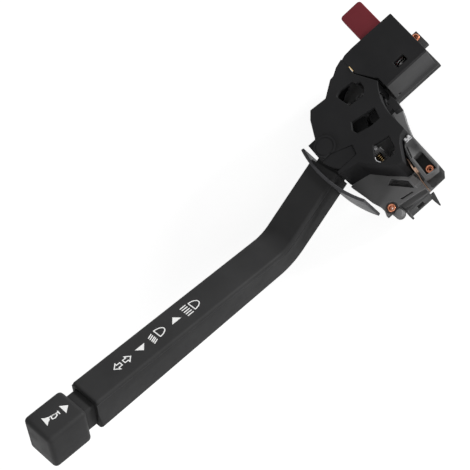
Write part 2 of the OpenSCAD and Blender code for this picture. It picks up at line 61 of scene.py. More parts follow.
mm = 0.001
sameSpot = 1e-5  # metres within which two places count as one
weldGap = 2e-6  # metres within which doubled vertices are merged
print("frame loaded")

# the lever's own sizes, the same as the solids have, in millimetres, with turn and rise in degrees
leverSizes = {
    "turn": 16, "bendX": 59, "rise": 33.8, "top": 16, "width": 14.8, "crankThick": 13.2, "tipThick": 17,
    "armLength": 105.6, "bendRadius": 15, "rootX": 21, "neckGap": 5,
}


def leverMatrix():
    return Matrix.Rotation(math.radians(leverSizes["turn"]), 4, "Z")


def armMatrix():
    place = Matrix.Translation((-leverSizes["bendX"] * mm, 0, leverSizes["top"] * mm))
    tilt = Matrix.Rotation(math.radians(leverSizes["rise"]), 4, "Y")
    return leverMatrix() @ place @ tilt @ Matrix.Rotation(math.pi, 4, "Z")


# materials

def freshMaterial(name):
    mat = bpy.data.materials.new(name)
    mat.use_nodes = True
    nodes = mat.node_tree.nodes
    nodes.clear()
    out = nodes.new("ShaderNodeOutputMaterial")
    shader = nodes.new("ShaderNodeBsdfPrincipled")
    mat.node_tree.links.new(shader.outputs["BSDF"], out.inputs["Surface"])
    return mat, nodes, mat.node_tree.links, shader


noiseBand = (0.3, 0.7)  # the stretch of a noise that is used, because few of its values lie outside


def noiseAt(nodes, links, coords, scale, detail):
    noise = nodes.new("ShaderNodeTexNoise")
    noise.inputs["Scale"].default_value = scale
    noise.inputs["Detail"].default_value = detail
    links.new(coords.outputs["Object"], noise.inputs["Vector"])
    return noise.outputs["Fac"]


def spread(nodes, links, source, low, high, band=noiseBand):
    node = nodes.new("ShaderNodeMapRange")
    node.inputs["From Min"].default_value = band[0]
    node.inputs["From Max"].default_value = band[1]
    node.inputs["To Min"].default_value = low
    node.inputs["To Max"].default_value = high
    links.new(source, node.inputs["Value"])
    return node.outputs["Result"]


def toneRamp(nodes, links, source, dark, light):
    ramp = nodes.new("ShaderNodeValToRGB")
    for element, place, tone in zip(ramp.color_ramp.elements, noiseBand, (dark, light)):
        element.position = place
        element.color = (*tone, 1)
    links.new(source, ramp.inputs["Fac"])
    return ramp.outputs["Color"]


# painted shade along one of the object's axes: the colour is scaled by a share that fades from one value to
# another between two places
def paintShadeAlong(nodes, links, coords, color, axis, start, end, before, after):
    split = nodes.new("ShaderNodeSeparateXYZ")
    links.new(coords.outputs["Object"], split.inputs["Vector"])
    shadeShare = spread(nodes, links, split.outputs[axis], before, after, (start * mm, end * mm))
    scale = nodes.new("ShaderNodeVectorMath")
    scale.operation = "SCALE"
    links.new(color, scale.inputs[0])
    links.new(shadeShare, scale.inputs["Scale"])
    return scale.outputs["Vector"]


def setColor(nodes, links, shader, coords, cloud, tone, vary, paintedLight):
    dark = tuple(c * (1 - vary) for c in tone)
    light = tuple(min(1, c * (1 + vary)) for c in tone)
    color = toneRamp(nodes, links, cloud, dark, light)
    for shade in paintedLight:
        color = paintShadeAlong(nodes, links, coords, color, *shade)
    links.new(color, shader.inputs["Base Color"])


def setRoughness(nodes, links, shader, noise, rough, swing):
    level = spread(nodes, links, noise, rough + swing[0], rough + swing[1])
    links.new(level, shader.inputs["Roughness"])


def setBump(nodes, links, shader, noise, strength, distance):
    bump = nodes.new("ShaderNodeBump")
    bump.inputs["Strength"].default_value = strength
    bump.inputs["Distance"].default_value = distance
    links.new(noise, bump.inputs["Height"])
    links.new(bump.outputs["Normal"], shader.inputs["Normal"])


# each noise has its scale and its detail; bump depths are in metres
plasticGrain = {"cloud": (60, 3), "speck": (2600, 2), "mottle": (220, 4), "roughSwing": (-0.05, 0.07),
                "bumpDepth": 0.0002}
metalGrain = {"cloud": (300, 4), "fine": (1500, 3), "vary": 0.15, "roughSwing": (-0.08, 0.12),
              "bump": 0.06, "bumpDepth": 0.0001}


def mouldedPlastic(name, tone, rough, grain, vary=0.12, specular=0.45, paintedLight=()):
    mat, nodes, links, shader = freshMaterial(name)
    coords = nodes.new("ShaderNodeTexCoord")
    cloud = noiseAt(nodes, links, coords, *plasticGrain["cloud"])
    speck = noiseAt(nodes, links, coords, *plasticGrain["speck"])
    mottle = noiseAt(nodes, links, coords, *plasticGrain["mottle"])
    setColor(nodes, links, shader, coords, cloud, tone, vary, paintedLight)
    setRoughness(nodes, links, shader, mottle, rough, plasticGrain["roughSwing"])
    setBump(nodes, links, shader, speck, grain, plasticGrain["bumpDepth"])
    shader.inputs["Specular IOR Level"].default_value = specular
    return mat


def metal(name, tone, rough, paintedLight=()):
    mat, nodes, links, shader = freshMaterial(name)
    coords = nodes.new("ShaderNodeTexCoord")
    cloud = noiseAt(nodes, links, coords, *metalGrain["cloud"])
    fine = noiseAt(nodes, links, coords, *metalGrain["fine"])
    setColor(nodes, links, shader, coords, cloud, tone, metalGrain["vary"], paintedLight)
    setRoughness(nodes, links, shader, fine, rough, metalGrain["roughSwing"])
    setBump(nodes, links, shader, fine, metalGrain["bump"], metalGrain["bumpDepth"])
    shader.inputs["Metallic"].default_value = 1
    return mat


# painted light and shade: stretches where the colour is made darker, each given by axis, from and to in
# millimetres, and the share of the colour before and after
plastics = {
    "leverBlack": {"tone": (0.036, 0.036, 0.0365), "rough": 0.5, "grain": 0.06, "specular": 0.06},
    "coverBlack": {"tone": (0.027, 0.027, 0.028), "rough": 0.5, "grain": 0.05, "specular": 0.05},
    "carrierBlack": {"tone": (0.03, 0.03, 0.031), "rough": 0.42, "grain": 0.03, "specular": 0.09},
    "shieldBlack": {"tone": (0.06, 0.06, 0.064), "rough": 0.42, "grain": 0.04, "specular": 0.16},
    "housingBlack": {"tone": (0.08, 0.08, 0.081), "rough": 0.52, "grain": 0.12, "vary": 0.14,
                     "specular": 0.11},
    # painted shade: the base is darker below 2.4 mm height, in its recesses, pits and on its sides, and
    # darker beyond x 20.5 mm, along the foot of the hazard housing
    "baseGrey": {"tone": (0.25, 0.25, 0.252), "rough": 0.52, "grain": 0.12, "vary": 0.16, "specular": 0.11,
                 "paintedLight": [("Z", 1.7, 2.4, 0.45, 1), ("X", 19, 20.5, 1, 0.4)]},
    "plugGrey": {"tone": (0.089, 0.089, 0.09), "rough": 0.52, "grain": 0.12, "vary": 0.16, "specular": 0.11},
    # painted shade: the terminal block is darker below 11.4 mm height, inside its pocket
    "blockGrey": {"tone": (0.145, 0.145, 0.146), "rough": 0.5, "grain": 0.1, "vary": 0.16, "specular": 0.11,
                  "paintedLight": [("Z", 10.8, 11.4, 0.15, 1)]},
    "tabRed": {"tone": (0.2, 0.03, 0.039), "rough": 0.46, "grain": 0.05, "specular": 0.14},
    "slideCream": {"tone": (0.407, 0.385, 0.326), "rough": 0.45, "grain": 0.04},
    "inkWhite": {"tone": (0.93, 0.93, 0.92), "rough": 0.55, "grain": 0.05, "vary": 0.05},
}
metals = {
    "pinSteel": {"tone": (0.58, 0.58, 0.59), "rough": 0.3},
    "rivetCopper": {"tone": (0.5, 0.2, 0.115), "rough": 0.24},
    # painted glint: the leaf keeps its full colour only between y -34 and -31.5 mm and is darker on both
    # sides of it
    "leafBronze": {"tone": (0.5, 0.33, 0.24), "rough": 0.3,
                   "paintedLight": [("Y", -35.5, -34, 0.3, 1), ("Y", -31.5, -30, 1, 0.3)]},
    "springZinc": {"tone": (0.85, 0.85, 0.84), "rough": 0.5},
    "leafBrass": {"tone": (0.72, 0.52, 0.26), "rough": 0.3},
}
finishes = {name: mouldedPlastic(name, **look) for name, look in plastics.items()}
finishes.update({name: metal(name, **look) for name, look in metals.items()})

nodeFinish = {
    "leverBlack": ["lever_arm", "horn_knob"],
    "coverBlack": ["head_cover", "hazard_cover"],
    "carrierBlack": ["lever_carrier", "horn_plunger", "cancel_pawl"],
    "shieldBlack": ["dust_shield"],
    "baseGrey": ["base_plate"],
    "housingBlack": ["hazard_housing"],
    "plugGrey": ["plug_shroud"],
    "blockGrey": ["terminal_block"],
    "tabRed": ["hazard_tab"],
    "slideCream": ["contact_slide"],
    "pinSteel": ["pivot_pin", "tilt_pin", "pawl_pin", "pawl_spring", "hazard_spring", "horn_spring",
                 "detent_spring", "detent_plunger", "rim_clip"],
    "leafBronze": ["terminal_leaf"],
    "rivetCopper": ["terminal_rivets", "plug_blades", "base_contacts", "slide_bridge", "hazard_bridge",
                    "hazard_contacts"],
    "leafBrass": ["cover_leaf"],
}
for finish, names in nodeFinish.items():
    for node in names:
        data = frame["nodes"][node].data
        data.materials.clear()
        data.materials.append(finishes[finish])
print("materials on the solids")


# helpers that finish a mesh and set it on its body

def bodyOf(node):
    return frame["nodes"][node].parent.name.split(":")[1]


def closePiece(name, bm, body, finish, nodes=(), matrix=None, sharp=35):
    bmesh.ops.recalc_face_normals(bm, faces=bm.faces)
    mesh = bpy.data.meshes.new(name)
    bm.to_mesh(mesh)
    bm.free()
    if matrix:
        mesh.transform(matrix)
    mesh.materials.append(finishes[finish])
    mesh.shade_smooth()
    mesh.set_sharp_from_angle(angle=math.radians(sharp))
    piece = bpy.data.objects.new(name, mesh)
    bpy.context.collection.objects.link(piece)
    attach(piece, body)
    if nodes:
        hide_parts(*nodes)
    return piece


def vertsIn(geom):
    return [g for g in geom if isinstance(g, bmesh.types.BMVert)]


def facesIn(geom):
    return [g for g in geom if isinstance(g, bmesh.types.BMFace)]


def edgesOf(verts):
    return list({e for v in verts for e in v.link_edges})


def softBox(bm, low, high, radius, steps=3):
    size = [(b - a) * mm for a, b in zip(low, high)]
    centre = [(a + b) / 2 * mm for a, b in zip(low, high)]
    place = Matrix.Translation(centre) @ Matrix.Diagonal((*size, 1))
    verts = bmesh.ops.create_cube(bm, size=1, matrix=place)["verts"]
    bmesh.ops.bevel(bm, geom=edgesOf(verts), offset=radius * mm, offset_type="OFFSET", segments=steps,
                    profile=0.5, affect="EDGES", clamp_overlap=True, material=-1)


# extrudes an end face, moves it by the given change and returns it, without the wall that it leaves inside
def pushFace(bm, face, change):
    joined = any(len(e.link_faces) > 1 for e in face.edges)
    out = bmesh.ops.extrude_face_region(bm, geom=[face])["geom"]
    if joined:
        bmesh.ops.delete(bm, geom=[face], context="FACES_ONLY")
    for vert in vertsIn(out):
        vert.co = change(vert.co)
    return facesIn(out)[0]


# a round wire spun round an upright axis, with both of its ends closed
def spinWire(bm, wire, sides, start, centre, advance, angle, steps):
    bmesh.ops.create_circle(bm, cap_ends=True, cap_tris=False, segments=sides, radius=wire * mm, matrix=start)
    face = list(bm.faces)[0]
    bmesh.ops.duplicate(bm, geom=[face])
    bmesh.ops.spin(bm, geom=[face, *face.edges, *face.verts], cent=centre, axis=(0, 0, 1), dvec=advance,
                   angle=math.radians(angle), steps=steps, use_duplicate=False)
    bmesh.ops.remove_doubles(bm, verts=bm.verts, dist=weldGap)


def looseEdges(bm):
    return sum(1 for e in bm.edges if len(e.link_faces) != 2)


# the lever: one swept skin with its parting groove, pin bore and hollow end
skinSizes = {
    "tailX": 8.3, "pinX": 11.5, "pinR": 1.8, "boreMargin": 0.05, "forkX": 15.5,
    "rootWidth": 11.8, "rootTop": 14.2, "rootBottom": 3.8, "edgeRound": 1.5,
    "grooveDrop": 2.1, "grooveHalf": 0.38, "grooveDeep": 0.5, "grooveRun": 0.6,
    "endWall": 1.6, "hollow": 21.5, "mouthRound": 1.2, "mouthRun": 1.8,
    "edgeSteps": 5, "boreSteps": 6, "bendSteps": 14, "mouthSteps": 4,
}


def crankMiddle():
    return leverSizes["top"] - leverSizes["crankThick"] / 2


def bendRun():
    return leverSizes["bendRadius"] * math.tan(math.radians(leverSizes["rise"] / 2))


def sectionFace(bm):
    lever, skin = leverSizes, skinSizes
    middle = crankMiddle()
    place = Matrix.Translation((-skin["tailX"] * mm, 0, middle * mm)) @ Matrix.Rotation(math.pi / 2, 4, "Y")
    size = Matrix.Diagonal((lever["crankThick"] * mm, lever["width"] * mm, 1, 1))
    bmesh.ops.create_grid(bm, x_segments=1, y_segments=1, size=0.5, matrix=place @ size)
    sides = [e for e in bm.edges if abs(e.verts[0].co.y - e.verts[1].co.y) < sameSpot]
    groove = lever["top"] - skin["grooveDrop"]
    levels = [middle, groove - skin["grooveHalf"], groove, groove + skin["grooveHalf"]]
    bmesh.ops.bisect_edges(bm, edges=sides, cuts=len(levels))
    for sign in (-1, 1):
        side = sorted((v for v in bm.verts if v.co.y * sign > 0), key=lambda v: v.co.z)
        for vert, level in zip(side[1:-1], levels):
            vert.co.z = level * mm
    heights = [v.co.z for v in bm.verts]
    corners = [v for v in bm.verts if v.co.z in (min(heights), max(heights))]
    bmesh.ops.bevel(bm, geom=corners, offset=skin["edgeRound"] * mm, offset_type="OFFSET",
                    segments=skin["edgeSteps"], profile=0.5, affect="VERTICES", clamp_overlap=False,
                    material=-1)
    return list(bm.faces)[0]


# the root's height as a share of the crank's, above or below the middle
def rootShare(z):
    middle = crankMiddle()
    reach = skinSizes["rootTop"] - middle if z > middle else middle - skinSizes["rootBottom"]
    return reach / (leverSizes["crankThick"] / 2)


def rootPlace(co):
    middle, z = crankMiddle(), co.z / mm
    y = co.y * skinSizes["rootWidth"] / leverSizes["width"]
    return Vector((-skinSizes["tailX"] * mm, y, (middle + (z - middle) * rootShare(z)) * mm))


def fullPlace(co):
    middle, z = crankMiddle(), co.z / mm
    y = co.y * leverSizes["width"] / skinSizes["rootWidth"]
    return Vector((co.x, y, (middle + (z - middle) / rootShare(z)) * mm))


def sweepCrank(bm, face):
    lever, skin = leverSizes, skinSizes
    for x in (skin["pinX"], skin["forkX"], lever["rootX"]):
        face = pushFace(bm, face, lambda co, x=x: Vector((-x * mm, co.y, co.z)))
    face = pushFace(bm, face, fullPlace)
    grooveZ = (lever["top"] - skin["grooveDrop"]) * mm
    grooveX = (-lever["rootX"] - skin["grooveRun"]) * mm
    bendX = (bendRun() - lever["bendX"]) * mm

    def sinkGroove(co):
        inward = skin["grooveDeep"] * mm if abs(co.z - grooveZ) < sameSpot else 0
        return Vector((grooveX, co.y - math.copysign(inward, co.y), co.z))
    face = pushFace(bm, face, sinkGroove)
    face = pushFace(bm, face, lambda co: Vector((bendX, co.y, co.z)))
    pivot = Vector((bendX, 0, (lever["top"] + lever["bendRadius"]) * mm))
    out = bmesh.ops.spin(bm, geom=[face, *face.edges, *face.verts], cent=pivot, axis=(0, 1, 0),
                         dvec=(0, 0, 0), angle=math.radians(lever["rise"]), steps=skin["bendSteps"],
                         use_duplicate=False)
    return facesIn(out["geom_last"])[0]


def sweepArm(bm, face):
    lever, skin = leverSizes, skinSizes
    rise = math.radians(lever["rise"])
    along = Vector((-math.cos(rise), 0, math.sin(rise)))
    down = Vector((-math.sin(rise), 0, -math.cos(rise)))
    corner = Vector((-lever["bendX"] * mm, 0, lever["top"] * mm))
    grow = (lever["tipThick"] - lever["crankThick"]) * mm

    def armStep(co, length, share, raised=0):
        depth = (co - corner).dot(down)
        low = grow * share if depth > lever["crankThick"] / 2 * mm else 0
        flat = raised * mm if abs(depth - skin["grooveDrop"] * mm) < sameSpot else 0
        side = Vector((0, math.copysign(flat, co.y), 0))
        return co + along * length * mm + down * low + side
    run, mouth = lever["armLength"] - bendRun(), skin["mouthRun"]
    face = pushFace(bm, face, lambda co: armStep(co, run - mouth, 1 - mouth / run))
    face = pushFace(bm, face, lambda co: armStep(co, mouth, mouth / run, skin["grooveDeep"]))
    bmesh.ops.bevel(bm, geom=list(face.edges), offset=skin["mouthRound"] * mm, offset_type="OFFSET",
                    segments=skin["mouthSteps"], profile=0.5, affect="EDGES", clamp_overlap=True, material=-1)
    face = max(bm.faces, key=lambda f: (round(f.calc_center_median().dot(along) / sameSpot), f.calc_area()))
    wall = (skin["endWall"] - skin["mouthRound"]) * mm
    bmesh.ops.inset_region(bm, faces=[face], thickness=wall, use_even_offset=True)
    pushFace(bm, face, lambda co: co - along * skin["hollow"] * mm)


def boreRoot(bm):
    skin = skinSizes
    axis = Vector((-skin["pinX"] * mm, 0, crankMiddle() * mm))

    def fromAxis(vert):
        return (Vector((vert.co.x, 0, vert.co.z)) - axis).length
    hubs = [v for v in bm.verts if fromAxis(v) < sameSpot]
    bmesh.ops.bevel(bm, geom=hubs, offset=skin["pinR"] * mm, offset_type="OFFSET", segments=skin["boreSteps"],
                    profile=0.5, affect="VERTICES", clamp_overlap=False, material=-1)
    reach = (skin["pinR"] + skin["boreMargin"]) * mm
    caps = [f for f in bm.faces if all(fromAxis(v) < reach for v in f.verts)]
    rims = list({e for f in caps for e in f.edges if sum(g in caps for g in e.link_faces) == 1})
    bmesh.ops.delete(bm, geom=caps, context="FACES")
    bmesh.ops.bridge_loops(bm, edges=rims)


def addLeverSkin():
    bm = bmesh.new()
    face = sectionFace(bm)
    for vert in bm.verts:
        vert.co = rootPlace(vert.co)
    sweepArm(bm, sweepCrank(bm, face))
    boreRoot(bm)
    print("lever skin, open edges:", looseEdges(bm))
    place = leverMatrix()
    closePiece("leverSkin", bm, "lever", "leverBlack", ["lever_arm"], place, sharp=40)


# the horn knob and its neck
knobSizes = {
    "length": 18.4, "width": 15.9, "height": 18.3, "round": 2.0, "roundSteps": 5,
    "neckWidth": 11, "neckHeight": 12.2, "neckIn": 14, "neckRound": 0.6, "sunk": 3,
}


def endBox(bm, start, end, width, height, radius, steps=3):
    middle = -leverSizes["tipThick"] / 2
    low, high = (start, -width / 2, middle - height / 2), (end, width / 2, middle + height / 2)
    softBox(bm, low, high, radius, steps)


def addKnob():
    knob = knobSizes
    start = leverSizes["armLength"] + leverSizes["neckGap"]
    end = start + knob["length"]
    bm = bmesh.new()
    endBox(bm, start, end, knob["width"], knob["height"], knob["round"], knob["roundSteps"])
    place = armMatrix()
    closePiece("knobSkin", bm, "horn", "leverBlack", ["horn_knob"], place, sharp=50)
    neckStart, neckEnd = leverSizes["armLength"] - knob["neckIn"], start + knob["sunk"]
    bm = bmesh.new()
    endBox(bm, neckStart, neckEnd, knob["neckWidth"], knob["neckHeight"], knob["neckRound"])
    closePiece("neckSkin", bm, "horn", "leverBlack", ["horn_plunger"], place, sharp=50)


addLeverSkin()
addKnob()
print("lever and knob")

# coil springs, each spun from one round wire section and set on its seat
# keep is the share of the length that is left when the coil is squeezed
coilSizes = {
    "hazardCoil": {"node": "hazard_spring", "seat": (32.6, 11.15, 10), "turn": (90, "X"), "frame": "head",
                   "radius": 2.3, "wire": 0.35, "length": 8.0, "turns": 5.5, "finish": "springZinc"},
    "detentCoil": {"node": "detent_spring", "seat": (-0.3, -15.3, 6.9), "turn": (90, "X"), "frame": "head",
                   "radius": 1.55, "wire": 0.3, "length": 4.0, "turns": 3.5, "finish": "leafBrass",
                   "keep": 0.6},
    "hornCoil": {"node": "horn_spring", "seat": (84.5, 0, -8.5), "turn": (90, "Y"), "frame": "arm",
                 "radius": 3.4, "wire": 0.4, "length": 7.5, "turns": 4.5, "finish": "pinSteel",
                 "keep": 0.667},
    "pawlCoil": {"node": "pawl_spring", "seat": (10, -3.6, 9.37), "turn": (0, "Z"), "frame": "head",
                 "radius": 2.05, "wire": 0.22, "length": 1.95, "turns": 2.5, "finish": "pinSteel"},
}
coilDetail = {"wireSides": 8, "stepsPerTurn": 24}


def addCoil(name, spring):
    bm = bmesh.new()
    start = Matrix.Translation((spring["radius"] * mm, 0, 0)) @ Matrix.Rotation(math.pi / 2, 4, "X")
    steps = int(spring["turns"] * coilDetail["stepsPerTurn"])
    advance = (0, 0, (spring["length"] - 2 * spring["wire"]) * mm / steps)
    sides, angle = coilDetail["wireSides"], 360 * spring["turns"]
    spinWire(bm, spring["wire"], sides, start, (0, 0, 0), advance, angle, steps)
    print(name, "open edges:", looseEdges(bm))
    tip, axis = spring["turn"]
    place = Matrix.Translation([v * mm for v in spring["seat"]]) @ Matrix.Rotation(math.radians(tip), 4, axis)
    if spring["frame"] == "arm":
        place = armMatrix() @ place
    node = spring["node"]
    return closePiece(name, bm, bodyOf(node), spring["finish"], [node], place, sharp=60)


coils = {name: addCoil(name, spring) for name, spring in coilSizes.items()}
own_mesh(coils["hornCoil"])
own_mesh(coils["detentCoil"])
print("coil springs")

# tubular rivets with a rolled head, spun round their axis; each spot is x, y, z and how deep it goes
rivetSizes = {
    "spots": [(11.5, -37.1, 10.8, 4.0), (-10.8, -34.4, 1.9, 1.9), (44.3, 14.5, 8.4, 2.0)],
    "rollAt": 1.42, "rollRise": 0.38, "roll": 0.52, "shank": 1.2, "bore": 0.6, "around": 36, "rollSides": 14,
}


def rivetRing(bm, sides, radius, place):
    out = bmesh.ops.create_circle(bm, cap_ends=False, segments=sides, radius=radius * mm, matrix=place)
    return out["verts"]


def addRivets():
    rivet = rivetSizes
    rollPlace = Matrix.Translation((rivet["rollAt"] * mm, 0, rivet["rollRise"] * mm))
    rollPlace = rollPlace @ Matrix.Rotation(math.pi / 2, 4, "X")
    bm = bmesh.new()
    for x, y, z, deep in rivet["spots"]:
        spot = Matrix.Translation((x * mm, y * mm, z * mm))
        roll = rivetRing(bm, rivet["rollSides"], rivet["roll"], spot @ rollPlace)
        bmesh.ops.spin(bm, geom=[*edgesOf(roll), *roll], cent=spot.translation, axis=(0, 0, 1),
                       dvec=(0, 0, 0), angle=math.tau, steps=rivet["around"], use_merge=True,
                       use_duplicate=False)
        rim = edgesOf(rivetRing(bm, rivet["around"], rivet["shank"], spot))
        hole = edgesOf(rivetRing(bm, rivet["around"], rivet["bore"], spot))
        faces = bmesh.ops.bridge_loops(bm, edges=rim + hole)["faces"]
        out = bmesh.ops.extrude_face_region(bm, geom=faces)["geom"]
        bmesh.ops.translate(bm, verts=vertsIn(out), vec=(0, 0, -deep * mm))
    print("rivets, open edges:", looseEdges(bm))
    closePiece("rolledRivets", bm, "head", "rivetCopper", ["terminal_rivets"], sharp=50)


addRivets()
print("rivets")

# the steel arc that lines the round end of the cover's lower window, from and sweep in degrees
bayRingSizes = {"x": 0.5, "y": -21, "z": 17.6, "radius": 2.62, "wire": 0.18, "from": 150, "sweep": 80,
                "wireSides": 10, "steps": 24}


def addBayRing():
    ring = bayRingSizes
    centre = Vector((ring["x"], ring["y"], ring["z"])) * mm
    turn = Matrix.Translation(centre) @ Matrix.Rotation(math.radians(ring["from"]), 4, "Z")
    start = turn @ Matrix.Translation((ring["radius"] * mm, 0, 0)) @ Matrix.Rotation(math.pi / 2, 4, "X")
    bm = bmesh.new()
    spinWire(bm, ring["wire"], ring["wireSides"], start, centre, (0, 0, 0), ring["sweep"], ring["steps"])
    print("bay ring, open edges:", looseEdges(bm))
    closePiece("bayRing", bm, "head", "pinSteel", sharp=60)


addBayRing()
print("bay ring")

# copies of the moulded solids with their edges broken: node, slot, finish and width
softEdges = {
    "coverShell": ("head_cover", "black_plastic", "coverBlack", 0.3),
    "hazardLid": ("hazard_cover", "black_plastic", "coverBlack", 0.3),
    "baseDeck": ("base_plate", "grey_plastic", "baseGrey", 0.22),
    "hazardBox": ("hazard_housing", "grey_plastic", "housingBlack", 0.25),
    "blockBody": ("terminal_block", "block_plastic", "blockGrey", 0.25),
    "plugBody": ("plug_shroud", "grey_plastic", "plugGrey", 0.25),
    "shieldSkin": ("dust_shield", "black_plastic", "shieldBlack", 0.3),
    "tabSkin": ("hazard_tab", "red_plastic", "tabRed", 0.35),
    "carrierBody": ("lever_carrier", "carrier_plastic", "carrierBlack", 0.2),
    "pawlBody": ("cancel_pawl", "carrier_plastic", "carrierBlack", 0.22),
    "slideBody": ("contact_slide", "cream_plastic", "slideCream", 0.15),
}
edgeSizes = {"sharpFrom": 30, "flatWithin": 1, "segments": 2}
keptFacets = ["baseDeck"]  # joining its flat facets tore a hole beside the plug

# the cover's round boss: the groove round it is made shallower, and the doubled corner beside it is merged
bossSizes = {"x": -14.4, "y": -0.3, "radius": 4.4, "floorAbove": 18.3, "floorBelow": 18.7, "lift": 0.25,
             "corner": (-15.5, 5.9), "cornerReach": 0.3, "cornerWeld": 0.25, "clear": 5.3, "edgesAbove": 17.8}
pawlGate = {"x": (12.5, 14.2), "y": (-18.5, -11), "below": 17}  # the opening that the pawl comes through
blockTip = {"beyond": -38.5, "above": 12}  # the far end of the block
lidEdge = {"below": 15.4, "place": 15.15}  # where the lid meets the cover, moved to close a thin gap


def fromBoss(vert):
    return math.hypot(vert.co.x - bossSizes["x"] * mm, vert.co.y - bossSizes["y"] * mm)


def tidyCover(bm):
    boss = bossSizes
    corner = Vector((*boss["corner"], 0)) * mm
    reach = boss["cornerReach"] * mm
    near = [v for v in bm.verts if (Vector((v.co.x, v.co.y, 0)) - corner).length < reach]
    bmesh.ops.remove_doubles(bm, verts=near, dist=boss["cornerWeld"] * mm)
    for vert in bm.verts:
        atFloor = boss["floorAbove"] * mm < vert.co.z < boss["floorBelow"] * mm
        if atFloor and fromBoss(vert) < boss["radius"] * mm:
            vert.co.z += boss["lift"] * mm


def tidyLid(bm):
    for vert in [v for v in bm.verts if v.co.x < lidEdge["below"] * mm]:
        vert.co.x = lidEdge["place"] * mm


# edges that stay sharp, because broken ones drew false faces there
def plainOnCover(vert):
    x, y, z = vert.co / mm
    byBoss = fromBoss(vert) < bossSizes["clear"] * mm and z > bossSizes["edgesAbove"]
    acrossGate = pawlGate["x"][0] < x < pawlGate["x"][1] and pawlGate["y"][0] < y < pawlGate["y"][1]
    return byBoss or (acrossGate and z < pawlGate["below"])


def plainOnBlock(vert):
    return vert.co.y < blockTip["beyond"] * mm and vert.co.z > blockTip["above"] * mm


mends = {"coverShell": tidyCover, "hazardLid": tidyLid}
plainEdges = {"coverShell": plainOnCover, "blockBody": plainOnBlock}


def markEdges(bm, skip=None):
    bmesh.ops.recalc_face_normals(bm, faces=bm.faces)
    weight = bm.edges.layers.float.new("bevel_weight_edge")
    for edge in bm.edges:
        sharp = len(edge.link_faces) == 2 and edge.calc_face_angle() > math.radians(edgeSizes["sharpFrom"])
        edge[weight] = 1 if sharp and not (skip and any(skip(v) for v in edge.verts)) else 0


def breakEdges(piece, width):
    soft = piece.modifiers.new("brokenEdges", "BEVEL")
    soft.width = width * mm
    soft.segments = edgeSizes["segments"]
    soft.limit_method = "WEIGHT"
    soft.use_clamp_overlap = False
    weighted = piece.modifiers.new("evenShading", "WEIGHTED_NORMAL")
    weighted.keep_sharp = False


def addSoftCopy(name, node, slot, finish, width):
    bm = bmesh.new()
    bm.from_mesh(frame["nodes"][node].data)
    bmesh.ops.remove_doubles(bm, verts=bm.verts, dist=weldGap)
    if name in mends:
        mends[name](bm)
    if name not in keptFacets:
        flat = math.radians(edgeSizes["flatWithin"])
        bmesh.ops.dissolve_limit(bm, angle_limit=flat, verts=bm.verts, edges=bm.edges)
    markEdges(bm, plainEdges.get(name))
    breakEdges(closePiece(name, bm, bodyOf(node), finish, [node]), width)


for name, values in softEdges.items():
    addSoftCopy(name, *values)
print("soft-edged mouldings")

# the hood of the cover over the lever's root, kept clear of the lever as it tilts
# its outline is an arc, from and to in degrees, and three corners
hoodSizes = {"reach": 20, "from": 193, "to": 219, "steps": 8, "low": 16.3, "high": 17.75, "edge": 0.25,
             "inner": [(-6.7, -12.6), (-5.4, -8.2), (-14.4, -4.4)]}


def addHood():
    hood = hoodSizes
    step = math.radians(hood["to"] - hood["from"]) / hood["steps"]
    turns = [math.radians(hood["from"]) + step * i for i in range(hood["steps"] + 1)]
    rim = [(hood["reach"] * math.cos(a), hood["reach"] * math.sin(a)) for a in turns]
    bm = bmesh.new()
    face = bm.faces.new([bm.verts.new((x * mm, y * mm, hood["low"] * mm)) for x, y in rim + hood["inner"]])
    out = bmesh.ops.extrude_face_region(bm, geom=[face])["geom"]
    bmesh.ops.translate(bm, verts=vertsIn(out), vec=(0, 0, (hood["high"] - hood["low"]) * mm))
    print("hood, open edges:", looseEdges(bm))
    markEdges(bm)
    breakEdges(closePiece("mouthHood", bm, "head", "coverBlack"), hood["edge"])


addHood()
print("hood over the lever's root")


# printed symbols on the lever and on the knob: along the arm, then across it, in millimetres
inkSizes = {"line": 0.46, "proud": 0.02, "sunk": 0.05, "arcSteps": 14}
arrowLeft = [(90.6, 0.2), (88.1, 2.4), (88.1, 1.15), (86.4, 1.15), (86.4, -0.85), (88.1, -0.85), (88.1, -2.0)]
arrowRight = [(81.3, 0.2), (83.8, -2.0), (83.8, -0.85), (85.4, -0.85), (85.4, 1.15), (83.8, 1.15),
              (83.8, 2.4)]
leverPointers = [[(78.6, -0.75), (73.65, -0.75), (76.1, 1.85)], [(57.2, -1.9), (54.9, 0.77), (59.8, 0.77)]]
hornPointers = [[(116.1, -1.9), (116.2, 2.6), (113.4, 0.35)],
                [(124.2, -2.6), (123.3, -1.6), (122.0, -1.1), (122.2, 0.2), (123.4, 0.75), (124.7, 1.9)]]
dippedLines = [((68.7, y), (71.1, y + 0.85)) for y in (-1.95, -1.0, -0.03, 0.75, 1.65)]
mainLines = [((49.2, y), (52.4, y)) for y in (-2.65, -1.5, -0.25, 0.9, 2.1)]
hornLines = [((122.1, -0.75), (118.0, 0.0)), ((117.9, -0.7), (118.1, 1.15))]
hornOutlines = [[(121.7, 0.1), (120.9, -0.7), (119.5, -0.6), (118.6, 0.05), (119.0, 0.95), (120.4, 1.45),
                 (121.6, 1.0)]]


def lampShape(flatAt, tipAt, low, high):
    middle, half = (low + high) / 2, (high - low) / 2
    steps = inkSizes["arcSteps"]
    turns = [math.radians(-90 + 180 * i / steps) for i in range(steps + 1)]
    return [(flatAt - (flatAt - tipAt) * math.cos(t), middle + half * math.sin(t)) for t in turns]


def inkFace(bm, points):
    face = bm.faces.new([bm.verts.new((s * mm, y * mm, 0)) for s, y in points])
    face.normal_update()
    return face


def inkOutline(bm, points):
    face = inkFace(bm, points)
    bmesh.ops.inset_region(bm, faces=[face], thickness=inkSizes["line"] * mm, use_boundary=True,
                           use_even_offset=True)
    bmesh.ops.delete(bm, geom=[face], context="FACES")


